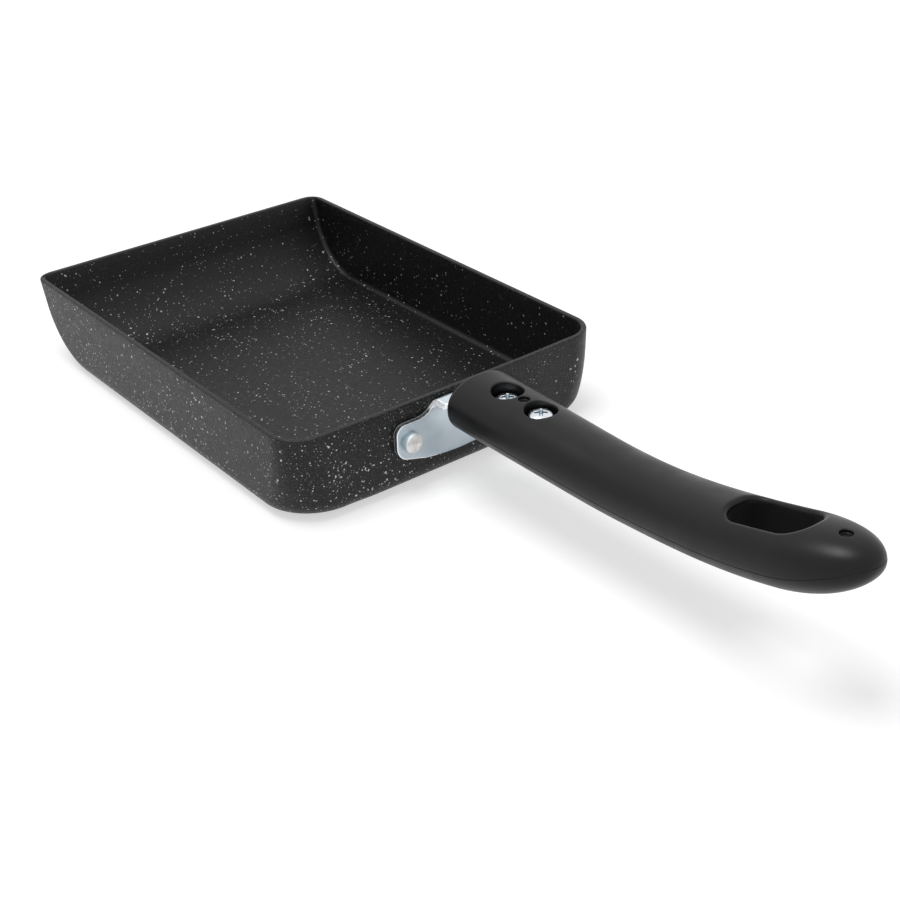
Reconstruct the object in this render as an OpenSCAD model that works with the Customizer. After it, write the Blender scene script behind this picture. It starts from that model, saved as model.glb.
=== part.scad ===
// Tamagoyaki pan: a small rectangular frying pan for rolled omelettes.
// The origin is on the underside of the base, below the middle of the rim.
// +X runs out along the handle, +Y across the pan and +Z up.

/* [Pan] */
// Length over the rim, from the curled end to the handle end
pan_l = 180; // [150:1:240]
// Width over the rim
pan_w = 130; // [110:1:200]
// Height from the base to the rim
pan_h = 32; // [31:1:50]
// Thickness of the walls
wall_t = 2; // [1.5:0.1:3]
// Thickness of the base
base_t = 2.5; // [1.5:0.1:4]
// Slope of the side walls and of the handle end, in degrees from upright
draft = 1; // [0:0.5:3]
// Outer radius of the curl at the end away from the handle
curl_r = 29; // [20:1:38]
// Slope of the wall above the curl, in degrees from upright
curl_lean = 16; // [8:1:24]
// Outer rounding between the base and the side walls
side_round = 6; // [5:0.5:8]
// Inner rounding between the base and the side walls
inner_round = 2; // [1:0.5:3]
// Outer rounding between the base and the handle end
end_round = 7; // [6:0.5:10]
// Corner radius of the rim beside the handle
rim_corner = 12; // [9:0.5:16]
// Corner radius of the base beside the handle
base_corner = 22; // [14:0.5:24]
// Outward bow of the handle end at its middle
end_bow = 0.6; // [0:0.1:1.5]
// Easing of the rim's outer edge
rim_ease = 0.5; // [0.2:0.1:0.7]

/* [Bracket] */
// Thickness of the bracket's sheet
plate_t = 2; // [1.5:0.1:3]
// Width across the bracket's wings
plate_w = 52; // [48:1:60]
// Depth of the wings' top edge below the rim
wing_top = 6; // [5:0.5:8]
// Depth of the bracket's lowest edge below the rim
wing_low = 22.5; // [20:0.5:23]
// Corner radius of the wings
wing_corner = 3.5; // [2:0.5:4]
// Radius of the wings' long lower edge
wing_sag_r = 74; // [60:1:120]
// Radius of the hollow between each wing and the tang
neck_r = 8; // [6:0.5:9]
// Inner radius of the fold between the plate and the tang
fold_r = 1; // [0.5:0.1:1.5]
// Depth of the tang's middle below the rim
tang_drop = 1.8; // [1.5:0.1:2.5]
// Width of the tang
tang_w = 18.4; // [16:0.1:19]
// Reach of the tang from the plate's back face
tang_l = 52; // [50:1:70]
// Outer diameter of the threaded collars under the tang
collar_d = 6.6; // [6:0.1:7.5]
// Height of the threaded collars
collar_h = 2; // [1:0.1:2.5]

/* [Rivets] */
// Diameter of the rivets' shanks
rivet_d = 5; // [4:0.1:6]
// Distance between the two rivets
rivet_pitch = 41; // [38:0.5:42]
// Depth of the rivets below the rim
rivet_drop = 12.8; // [12:0.1:14]
// Diameter of the formed ends outside
rivet_tail_d = 7; // [6.5:0.1:8]
// Height of the formed ends outside
rivet_tail_h = 2.2; // [1.5:0.1:3]
// Diameter of the low heads inside the pan
rivet_head_d = 10; // [8:0.5:12]
// Height of the low heads inside the pan
rivet_head_h = 1.5; // [1:0.1:2.5]

/* [Handle] */
// Gap between the pan and the handle's front face
grip_gap = 10.4; // [8:0.1:14]
// Length of the handle along its middle line
grip_l = 162; // [155:1:190]
// Height of the handle's middle line above the tang's middle
grip_lift = 1.5; // [0.5:0.1:2]
// Length of the straight part, from the front face
grip_straight = 56; // [50:1:65]
// Radius of the upward bend
grip_bend_r = 290; // [240:5:400]
// Distance from the front face to the waist
waist_at = 80; // [70:1:90]
// Distance from the front face to the fullest part of the tail
tail_at = 132; // [128:1:140]
// Width at the front face
front_w = 26; // [25:0.5:30]
// Width at the waist
waist_w = 23.6; // [20:0.2:28]
// Width at the tail
tail_w = 27.2; // [25:0.2:32]
// Thickness at the front face
front_h = 19; // [18:0.5:22]
// Thickness at the waist
waist_h = 18.6; // [17:0.2:22]
// Thickness at the tail
tail_h = 19.4; // [17:0.2:23]
// Length over which the tail closes
tail_close = 27; // [20:1:30]
// Rounding of the front face's edge
front_round = 2.5; // [1:0.5:3]

/* [Hanging slot] */
// Length of the slot
slot_l = 27; // [20:0.5:29]
// Width of the slot
slot_w = 16; // [10:0.5:18]
// Corner radius of the slot
slot_corner = 6; // [3:0.5:7]
// Distance from the front face to the slot's middle
slot_at = 126; // [120:1:128]

/* [Handle screws] */
// Diameter of the screws
screw_d = 4; // [3.5:0.1:4.5]
// Length of the screws below their heads
screw_l = 11.5; // [10.5:0.5:12]
// Diameter of the screw heads
head_d = 8.2; // [7:0.1:9]
// Height of the screw heads
head_h = 2.4; // [2:0.1:3]
// Diameter of the wells around the heads
well_d = 10.6; // [9.8:0.1:12]
// Height of the rear well's floor above the tang's middle
well_floor = 6.4; // [6:0.1:7]
// How much deeper the front well is
well_step = 1.2; // [0:0.1:1.2]
// Distance from the handle's front face to the first screw
screw_at = 16; // [12:0.5:18]
// Distance between the two screws
screw_pitch = 16; // [14:0.5:18]
// Length of the cross recess's arms, tip to tip
recess_l = 4.4; // [3:0.1:5]
// Width of the cross recess's arms
recess_w = 0.9; // [0.6:0.1:1.2]
// Depth of the cross recess
recess_h = 1.5; // [1:0.1:1.8]
// Thickness of the spring washers
washer_t = 1; // [0.8:0.1:1.2]
// Outer diameter of the spring washers
washer_d = 7.6; // [6.6:0.1:8]
// Width of the spring washers' split
washer_split = 1; // [0.5:0.1:1.5]

/* [Clearances] */
// Gap around the tang in the handle's socket
socket_gap = 0.15; // [0.1:0.05:0.4]
// Radial gap around the rivets, and around the screws in the bracket
shank_gap = 0.05; // [0.02:0.01:0.1]
// Radial gap around the screws in the handle
bore_gap = 0.25; // [0.1:0.05:0.5]
// Gap past the ends of the tang and of the screws
end_gap = 0.8; // [0.5:0.1:1]

/* [Hidden] */

// Steps in one rounded corner, and around a turned surface
corner_steps = 8;
round_fn = 48;
// Steps up the curl, and points around one section of the handle
curl_steps = 12;
section_points = 40;
// Extra reach of every cut past the surface that it opens
cut = 1;
// Height at which the base's outline is taken, so that its corners stay open
first_level = 0.02;
// Margin beside the bracket before the handle end starts to bow
flat_margin = 4;
// How quickly the corners beside the handle tighten above the base: 1 is evenly up to the rim
corner_power = 3;
// Steps round the handle's front edge, along its body and along its closing tail
edge_steps = 3;
body_steps = 20;
tail_steps = 11;

tang_mid = -tang_drop;
tang_half = tang_w / 2;
fold_outer = fold_r + plate_t;
fold_level = tang_mid + plate_t / 2 - fold_outer;
grip_mid = tang_mid + grip_lift;
screw_places = [grip_gap + screw_at, grip_gap + screw_at + screw_pitch];
floor_levels = [tang_mid + well_floor - well_step, tang_mid + well_floor];
flat_half = plate_w / 2 + flat_margin;
// Shape number of the handle's sections: 2 is an ellipse and more is squarer
section_power = 2.2;
// The same for the closing of the tail
close_power = 2.1;
// Angle of the tail's round end at which the handle's last section is drawn
close_angle = 88;
// Small round dimples left by the mould: one between the screws and one on the tail
dimple_d = 3.8;
dimple_depth = 1;
dimple_at = screw_at + screw_pitch / 2;
tail_dimple_at = 153;

pan_color = "#3a3a3c";
zinc_color = "#b4c2cc";
rivet_color = "#d8d4d0";
grip_color = "#2c2c2e";
screw_color = "#c6d0d6";

// Places its children on the handle end: X straight out of the wall, Z up it from the rim
module at_wall() {
    translate([pan_l / 2 + end_bow, 0, pan_h]) rotate([0, draft, 0]) children();
}

// Closed solid through a list of rings that each run the same way round
module loft(rings) {
    n = len(rings[0]);
    last = (len(rings) - 1) * n;
    sides = [for (k = [0 : len(rings) - 2], i = [0 : n - 1])
        let (a = k * n + i, b = k * n + (i + 1) % n)
        each [[a, a + n, b + n], [a, b + n, b]]];
    caps = [[for (i = [0 : n - 1]) i], [for (i = [n - 1 : -1 : 0]) last + i]];
    polyhedron(points = [for (r = rings) each r], faces = concat(sides, caps), convexity = 4);
}

// Inset of a rounded lower edge of radius r, at height z above its lowest line
function inset(r, z) = z >= r ? 0 : r - sqrt(r * r - (r - z) * (r - z));

// Bow of the handle end at distance y from its middle, easing out to the corners at y1
function bow(y, y1) =
    let (t = max(0, (abs(y) - flat_half) / (y1 - flat_half))) end_bow * pow(cos(90 * t), 2);

// One corner of the curled end at height z, from the side wall round to the curled wall
function curl_corner(z, far, half_w, h, cr, fr, side) =
    let (top = cr * (1 - sin(curl_lean)),
         foot = far + (h - top) * tan(curl_lean) + cr * cos(curl_lean),
         y0 = half_w - (h - z) * tan(draft) - fr,
         a1 = z >= fr ? 90 : acos(1 - z / fr))
    [for (i = [0 : corner_steps])
        let (a = a1 * (side > 0 ? 1 - i / corner_steps : i / corner_steps),
             k = fr * (1 - cos(a)),
             on_curl = (cr - z) / (cr - k) >= sin(curl_lean),
             x = on_curl ? foot - sqrt(max(0, (cr - k) * (cr - k) - (cr - z) * (cr - z)))
                         : far + (h - z) * tan(curl_lean) + k / cos(curl_lean))
        [x, side * (y0 + fr * sin(a)), z]];

// Level outline of the pan's form at height z above the underside of that form
function pan_slice(z, near, far, half_w, h, cr, fr, er, trim) =
    let (near_x = near - (h - z) * tan(draft) - inset(er, z),
         side_y = half_w - (h - z) * tan(draft) - inset(fr, z),
         r = rim_corner + (base_corner - rim_corner) * pow(max(0, 1 - z / h), corner_power) - trim,
         rx = r - inset(er, z),
         ry = r - inset(fr, z),
         y1 = side_y - ry,
         steps = [1, 0.75, 0.5, 0.25, 0])
    concat(
        [for (i = [0 : corner_steps - 1]) let (a = -90 + 90 * i / corner_steps)
            [near_x - rx + rx * cos(a), -y1 + ry * sin(a), z]],
        [for (t = steps) let (y = -flat_half - (y1 - flat_half) * t) [near_x + bow(y, y1), y, z]],
        [for (i = [len(steps) - 1 : -1 : 0])
            let (y = flat_half + (y1 - flat_half) * steps[i]) [near_x + bow(y, y1), y, z]],
        [for (i = [1 : corner_steps]) let (a = 90 * i / corner_steps)
            [near_x - rx + rx * cos(a), y1 + ry * sin(a), z]],
        curl_corner(z, far, half_w, h, cr, fr, 1),
        curl_corner(z, far, half_w, h, cr, fr, -1));

// Heights of the outlines: close together round the curl, then up to the rim
function pan_levels(cr, rest) =
    concat([for (i = [0 : curl_steps])
               max(first_level, cr * (1 - cos((90 - curl_lean) * i / curl_steps)))], rest);

// Lifts a level outline by dz and draws the lowest one down onto the base
function lifted(outline, dz, lowest) =
    [for (p = outline) [p[0], p[1], (lowest ? 0 : p[2]) + dz]];

module pan_outside() {
    levels = pan_levels(curl_r, [pan_h - rim_ease]);
    loft(concat(
        [for (i = [0 : len(levels) - 1])
            lifted(pan_slice(levels[i], pan_l / 2, -pan_l / 2, pan_w / 2, pan_h,
                             curl_r, side_round, end_round, 0), 0, i == 0)],
        [pan_slice(pan_h, pan_l / 2 - rim_ease, -pan_l / 2 + rim_ease, pan_w / 2 - rim_ease,
                   pan_h, curl_r, side_round, end_round, rim_ease)]));
}

module pan_inside() {
    depth = pan_h - base_t;
    levels = pan_levels(curl_r - wall_t, [depth, depth + cut]);
    loft([for (i = [0 : len(levels) - 1])
        lifted(pan_slice(levels[i], pan_l / 2 - wall_t, -pan_l / 2 + wall_t / cos(curl_lean),
                         pan_w / 2 - wall_t, depth, curl_r - wall_t, inner_round,
                         end_round - wall_t, wall_t), base_t, i == 0)]);
}

// Children at both rivet places, with X along the rivet
module rivet_places() {
    for (side = [-1, 1]) translate([0, side * rivet_pitch / 2, -rivet_drop]) children();
}

module pan_body() {
    color(pan_color) difference() {
        pan_outside();
        pan_inside();
        at_wall() rivet_places() translate([-wall_t - cut, 0, 0]) rotate([0, 90, 0])
            cylinder(r = rivet_d / 2 + shank_gap, h = wall_t + 2 * cut, $fn = round_fn);
    }
}

// Points on an arc about c, from angle a0 to angle a1
function arc(c, r, a0, a1) =
    [for (i = [0 : corner_steps])
        let (a = a0 + (a1 - a0) * i / corner_steps) [c[0] + r * cos(a), c[1] + r * sin(a)]];

// One half of the bracket's flat outline: Y across and Z up from the rim
function wing_outline() =
    let (corner_y = plate_w / 2 - wing_corner,
         inner_r = wing_sag_r - wing_corner,
         sag_a = asin(corner_y / inner_r),
         low_z = -wing_low + wing_sag_r - inner_r * cos(sag_a),
         neck_c = [tang_half + neck_r, -wing_top + neck_r],
         neck_a = asin((neck_c[1] - tang_mid - plate_t / 2) / neck_r))
    concat(
        arc([0, -wing_low + wing_sag_r], wing_sag_r, -90, -90 + sag_a),
        arc([corner_y, low_z], wing_corner, -90 + sag_a, 0),
        arc([corner_y, -wing_top - wing_corner], wing_corner, 0, 90),
        arc(neck_c, neck_r, -90, -180 + neck_a),
        [[0, tang_mid + plate_t / 2]]);

// Plate against the wall and its outward fold, as seen along Y
module fold_profile() {
    translate([0, -wing_low - cut]) square([plate_t, wing_low + cut + fold_level]);
    translate([fold_outer, fold_level]) intersection() {
        difference() {
            circle(r = fold_outer, $fn = round_fn);
            circle(r = fold_r, $fn = round_fn);
        }
        translate([-fold_outer, 0]) square(fold_outer);
    }
}

module tang_outline() {
    end_r = wing_corner;
    translate([fold_outer, -tang_half]) square([tang_l - fold_outer - end_r, tang_w]);
    translate([tang_l - end_r - cut, -tang_half + end_r]) square([end_r + cut, tang_w - 2 * end_r]);
    for (side = [-1, 1]) translate([tang_l - end_r, side * (tang_half - end_r)])
        circle(r = end_r, $fn = round_fn);
}

module handle_bracket() {
    color(zinc_color) at_wall() difference() {
        union() {
            intersection() {
                translate([0, plate_w / 2, 0]) rotate([90, 0, 0])
                    linear_extrude(plate_w) fold_profile();
                rotate([90, 0, 90]) linear_extrude(fold_outer) union() {
                    polygon(wing_outline());
                    mirror([1, 0]) polygon(wing_outline());
                }
            }
            translate([0, 0, tang_mid - plate_t / 2]) linear_extrude(plate_t) tang_outline();
            for (x = screw_places) translate([x, 0, tang_mid - plate_t / 2 - collar_h])
                cylinder(d = collar_d, h = collar_h + plate_t / 2, $fn = round_fn);
        }
        rivet_places() translate([-cut, 0, 0]) rotate([0, 90, 0])
            cylinder(r = rivet_d / 2 + shank_gap, h = plate_t + 2 * cut, $fn = round_fn);
        for (x = screw_places) translate([x, 0, tang_mid - plate_t - collar_h - cut])
            cylinder(r = screw_d / 2 + shank_gap, h = collar_h + 2 * plate_t + 2 * cut, $fn = round_fn);
    }
}

// Low dome of radius r and height h, as points from the rim (r, 0) to the top (0, h)
function dome(r, h, z0) =
    [for (i = [0 : corner_steps]) let (a = 90 * i / corner_steps) [r * cos(a), z0 + h * sin(a)]];

// One rivet along +Z from its head inside the pan, with Z = 0 on the wall's outer face
module rivet() {
    // Straight part of each end below its dome, as a share of the height
    tail_side = 0.6;
    head_side = 0.3;
    tail = dome(rivet_tail_d / 2, rivet_tail_h * (1 - tail_side), plate_t + rivet_tail_h * tail_side);
    head = dome(rivet_head_d / 2, rivet_head_h * (1 - head_side), rivet_head_h * head_side);
    rotate_extrude($fn = round_fn) polygon(concat(
        [for (i = [len(head) - 1 : -1 : 0]) [head[i][0], -wall_t - head[i][1]]],
        [[rivet_head_d / 2, -wall_t], [rivet_d / 2, -wall_t],
         [rivet_d / 2, plate_t], [rivet_tail_d / 2, plate_t]],
        tail));
}

module rivet_at(side) {
    color(rivet_color) at_wall() translate([0, side * rivet_pitch / 2, -rivet_drop])
        rotate([0, 90, 0]) rivet();
}

module rivet_left() {
    rivet_at(-1);
}

module rivet_right() {
    rivet_at(1);
}

// Span of the list at that holds s
function span(s, at, i = 0) = i >= len(at) - 2 || s < at[i + 1] ? i : span(s, at, i + 1);

// Slope through station i, level at both ends
function slope(at, v, i) =
    i == 0 || i == len(at) - 1 ? 0 : (v[i + 1] - v[i - 1]) / (at[i + 1] - at[i - 1]);

// Smooth value at s through the stations' values, constant past the last one
function through(s, at, v) =
    let (i = span(s, at), d = at[i + 1] - at[i], u = min(1, max(0, (s - at[i]) / d)))
    (2 * u * u * u - 3 * u * u + 1) * v[i] + (u * u * u - 2 * u * u + u) * d * slope(at, v, i)
    + (3 * u * u - 2 * u * u * u) * v[i + 1] + (u * u * u - u * u) * d * slope(at, v, i + 1);

// Turn of the middle line at distance s from the front face, in degrees
function grip_turn(s) = max(0, s - grip_straight) / grip_bend_r * 180 / PI;

// Middle line at s, as distance out from the wall and height above the rim
function grip_line(s) =
    let (a = grip_turn(s))
    [grip_gap + min(s, grip_straight) + grip_bend_r * sin(a), grip_mid + grip_bend_r * (1 - cos(a))];

// Share of the full section left at s: the tail closes in one round end
function closing(s) =
    let (u = max(0, (s - grip_l + tail_close) / tail_close))
    pow(1 - pow(u, close_power), 1 / close_power);

function signed_pow(v, p) = sign(v) * pow(abs(v), p);

// Section of the handle at s, square to the middle line
function grip_section(s) =
    let (at = [0, waist_at, tail_at],
         f = closing(s),
         ease = inset(front_round, s),
         half_w = (through(s, at, [front_w, waist_w, tail_w]) / 2 - ease) * f,
         half_h = (through(s, at, [front_h, waist_h, tail_h]) / 2 - ease) * f,
         c = grip_line(s),
         a = grip_turn(s))
    [for (i = [0 : section_points - 1])
        let (q = 360 * i / section_points,
             y = half_w * signed_pow(cos(q), 2 / section_power),
             v = half_h * signed_pow(sin(q), 2 / section_power))
        [c[0] - v * sin(a), y, c[1] + v * cos(a)]];

module grip_form() {
    body_l = grip_l - tail_close - front_round;
    edge = [for (i = [0 : edge_steps - 1]) front_round * (1 - cos(90 * i / edge_steps))];
    body = [for (i = [0 : body_steps]) front_round + body_l * i / body_steps];
    tail = [for (i = [1 : tail_steps])
        grip_l - tail_close * (1 - sin(close_angle * i / tail_steps))];
    loft([for (s = concat(edge, body, tail)) grip_section(s)]);
}

// Hollow for the tang and for the collars under it
module tang_socket() {
    reach = tang_l + end_gap - grip_gap;
    half_t = plate_t / 2 + socket_gap;
    translate([grip_gap - cut, -tang_half - socket_gap, tang_mid - half_t])
        cube([reach + cut, tang_w + 2 * socket_gap, 2 * half_t]);
    collar_w = collar_d + 2 * bore_gap;
    translate([grip_gap - cut, -collar_w / 2, tang_mid - half_t - collar_h])
        cube([screw_places[1] - grip_gap + collar_w / 2 + cut, collar_w, collar_h + half_t]);
}

module slot_outline() {
    for (sx = [-1, 1], sy = [-1, 1])
        translate([sx * (slot_l / 2 - slot_corner), sy * (slot_w / 2 - slot_corner)])
            circle(r = slot_corner, $fn = round_fn);
    square([slot_l - 2 * slot_corner, slot_w], center = true);
    square([slot_l, slot_w - 2 * slot_corner], center = true);
}

// Top of the handle's section at s, as distance out from the wall and height above the rim
function grip_top(s) =
    let (p = grip_section(s)[section_points / 4]) [p[0], p[2]];

module dimple(s) {
    p = grip_top(s);
    translate([p[0], 0, p[1]]) rotate([0, -grip_turn(s), 0])
        translate([0, 0, -dimple_depth])
            cylinder(d = dimple_d, h = dimple_depth + cut, $fn = round_fn);
}

module handle_grip() {
    slot_low = grip_mid - front_h;
    color(grip_color) at_wall() difference() {
        grip_form();
        tang_socket();
        for (i = [0, 1]) translate([screw_places[i], 0, floor_levels[i]]) {
            cylinder(d = well_d, h = front_h, $fn = round_fn);
            bore_l = screw_l + end_gap - washer_t;
            translate([0, 0, -bore_l])
                cylinder(r = screw_d / 2 + bore_gap, h = bore_l + cut, $fn = round_fn);
        }
        translate([grip_gap + slot_at, 0, slot_low])
            linear_extrude(grip_l) slot_outline();
        dimple(dimple_at);
        dimple(tail_dimple_at);
    }
}

// One screw with its head's underside at Z = 0
module screw() {
    // Straight part of the head's side, as a share of its height
    head_side = 0.35;
    // Turn of the cross recess as the screws were left
    recess_turn = 50;
    top = dome(head_d / 2, head_h * (1 - head_side), head_h * head_side);
    point = screw_d / 4;
    difference() {
        rotate_extrude($fn = round_fn) polygon(concat(
            [[0, -screw_l], [screw_d / 2 - point, -screw_l], [screw_d / 2, -screw_l + point],
             [screw_d / 2, 0], [head_d / 2, 0]], top));
        for (a = [0, 90]) rotate([0, 0, recess_turn + a])
            translate([-recess_l / 2, -recess_w / 2, head_h - recess_h])
                cube([recess_l, recess_w, recess_h + cut]);
    }
}

module screw_at_place(i) {
    color(screw_color) at_wall() translate([screw_places[i], 0, floor_levels[i] + washer_t]) screw();
}

module screw_front() {
    screw_at_place(0);
}

module screw_rear() {
    screw_at_place(1);
}

// Split ring under a screw head, pressed flat
module spring_washer(i) {
    color(zinc_color) at_wall() translate([screw_places[i], 0, floor_levels[i]]) difference() {
        cylinder(d = washer_d, h = washer_t, $fn = round_fn);
        translate([0, 0, -cut])
            cylinder(r = screw_d / 2 + shank_gap, h = washer_t + 2 * cut, $fn = round_fn);
        translate([0, -washer_split / 2, -cut]) cube([washer_d, washer_split, washer_t + 2 * cut]);
    }
}

module spring_washer_front() {
    spring_washer(0);
}

module spring_washer_rear() {
    spring_washer(1);
}

pan_body();
handle_bracket();
rivet_left();
rivet_right();
handle_grip();
screw_front();
screw_rear();
spring_washer_front();
spring_washer_rear();
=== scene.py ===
import math

import bpy
import numpy as np
from mathutils import Matrix, Vector


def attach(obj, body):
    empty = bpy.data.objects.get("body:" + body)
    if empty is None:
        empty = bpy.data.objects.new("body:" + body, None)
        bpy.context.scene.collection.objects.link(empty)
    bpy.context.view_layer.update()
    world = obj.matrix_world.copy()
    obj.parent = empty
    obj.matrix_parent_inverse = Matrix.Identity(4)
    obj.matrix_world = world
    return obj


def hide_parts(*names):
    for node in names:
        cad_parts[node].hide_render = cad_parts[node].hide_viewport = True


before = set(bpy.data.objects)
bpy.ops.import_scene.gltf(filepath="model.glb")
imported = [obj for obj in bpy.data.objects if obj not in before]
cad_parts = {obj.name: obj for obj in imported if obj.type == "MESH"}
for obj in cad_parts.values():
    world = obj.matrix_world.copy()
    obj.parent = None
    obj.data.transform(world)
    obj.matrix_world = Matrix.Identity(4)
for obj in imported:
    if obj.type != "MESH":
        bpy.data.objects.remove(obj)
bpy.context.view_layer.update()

MM = 0.001

# Sizes in millimetres: the large ones as in the part's source, the small forms finer
PAN_L, PAN_W, PAN_H = 180, 130, 32
WALL_T, BASE_T = 2, 2.5
DRAFT = math.radians(1)
CURL_R, LEAN = 29, math.radians(16)
SIDE_ROUND, INNER_ROUND, END_ROUND = 6, 2, 7
RIM_CORNER, BASE_CORNER, CORNER_POWER = 12, 22, 3
END_BOW, RIM_EASE = 0.6, 0.5
END_X = PAN_L / 2 + END_BOW
OUTER_LEVELS, INNER_LEVELS = [24, 28], [22, 26]
FIRST_LEVEL = 0.004

PLATE_T, PLATE_W = 2, 52
FLAT_HALF = PLATE_W / 2 + 4
WING_TOP, WING_LOW, WING_CORNER, WING_SAG_R, NECK_R = 6, 22.5, 3.5, 74, 8
FOLD_R, SHEET_EDGE = 1, 0.2
TANG_MID, TANG_HALF, TANG_L = -1.8, 9.2, 52
TANG_FROM, NECK_LOW = 4, 15
COLLAR_R, COLLAR_H = 3.3, 2
FOLD_OUTER = FOLD_R + PLATE_T
FOLD_LEVEL = TANG_MID + PLATE_T / 2 - FOLD_OUTER

RIVET_R, RIVET_Y, RIVET_Z = 2.5, 20.5, -12.8
TAIL_R, TAIL_H, TAIL_ROUND = 3.5, 2.2, 0.6
HEAD_R, HEAD_H, HEAD_RIM = 5, 1.5, 0.45

GRIP_GAP, GRIP_L, GRIP_MID = 10.4, 162, -0.3
STRAIGHT, BEND_R = 56, 290
STATIONS = (0, 80, 132)
HALF_WIDTHS = (13, 11.8, 13.6)
HALF_HEIGHTS = (9.5, 9.3, 9.7)
TAIL_CLOSE, FRONT_ROUND = 27, 2.5
SECTION_POWER, CLOSE_POWER = 2.2, 2.1
RIDGE_H, RIDGE_W = 0.17, 0.13
SLOT_AT, SLOT_HALF_L, SLOT_HALF_W, SLOT_ROUND = 126, 13.1, 7.4, 1.9
SLOT_CORNERS = (5.6, 6.6)
DIMPLE_R, DIMPLE_DEPTH, DIMPLES_S = 1.9, 1.15, (24, 153)

SCREW_X = (GRIP_GAP + 16, GRIP_GAP + 32)
SCREW_R, SCREW_L, SCREW_HEAD_R, SCREW_HEAD_H, HEAD_SIDE = 2, 11.5, 4.1, 2.4, 0.84
THREAD_R, THREAD_DEPTH, THREAD_PITCH = 1.97, 0.36, 0.7
RECESS_TURN = math.radians(50)
RECESS_REACH, RECESS_HALF_W, RECESS_CORE, RECESS_DEPTH = 2.35, 0.5, 1.05, 1.7
WELL_R, WELL_FLOORS = 5.3, (3.4, 4.6)
WASHER_T, WASHER_R, WASHER_BORE_R, WASHER_EDGE = 1, 3.8, 2.08, 0.12

# Room in the handle for the tang, its collars and the screws
END_GAP, SIDE_GAP, FACE_GAP, BELOW_COLLARS = 0.8, 0.3, 0.25, 0.15
BORE_GAP = 0.25
BORE_R, COLLAR_ROOM = SCREW_R + BORE_GAP, COLLAR_R + BORE_GAP

# Roundings of the edges cut into the handle
WELL_EDGE, BORE_EDGE, SOCKET_EDGE, COLLAR_EDGE, DIMPLE_EDGE = 0.45, 0.15, 0.3, 0.2, 0.25


def to_world(p):
    """Points in the wall's frame (X out of the handle end, Z up it from the rim) as row points."""
    x, y, z = p[..., 0], p[..., 1], p[..., 2]
    c, s = math.cos(DRAFT), math.sin(DRAFT)
    return np.stack([END_X + x * c + z * s, y, PAN_H - x * s + z * c], -1)


# Mesh helpers
def add_piece(name, verts, faces, material, slot, *nodes):
    """A smooth mesh from points in millimetres and faces, riding on the root in place of CAD nodes."""
    mesh = bpy.data.meshes.new(name)
    mesh.from_pydata((np.asarray(verts) * MM).tolist(), [], [list(map(int, f)) for f in faces])
    mesh.validate()
    mesh.polygons.foreach_set("use_smooth", [True] * len(mesh.polygons))
    mesh.update()
    piece = bpy.data.objects.new(name, mesh)
    bpy.context.scene.collection.objects.link(piece)
    mesh.materials.append(material)
    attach(piece, "root")
    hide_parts(*nodes)


def ring_faces(rings, n):
    """Quads between rings of n points, with a face over each end."""
    k, i = np.meshgrid(np.arange(rings - 1), np.arange(n), indexing="ij")
    a, b = k * n + i, k * n + (i + 1) % n
    faces = np.stack([a, b, b + n, a + n], -1).reshape(-1, 4).tolist()
    faces.append(list(range(n - 1, -1, -1)))
    faces.append([(rings - 1) * n + i for i in range(n)])
    return faces


def gradient(field, p, eps=0.01):
    """Slope of a field at points, from central differences."""
    g = np.empty_like(p)
    for axis in range(3):
        step = np.zeros(3)
        step[axis] = eps
        g[:, axis] = (field(p + step) - field(p - step)) / (2 * eps)
    return g


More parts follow.
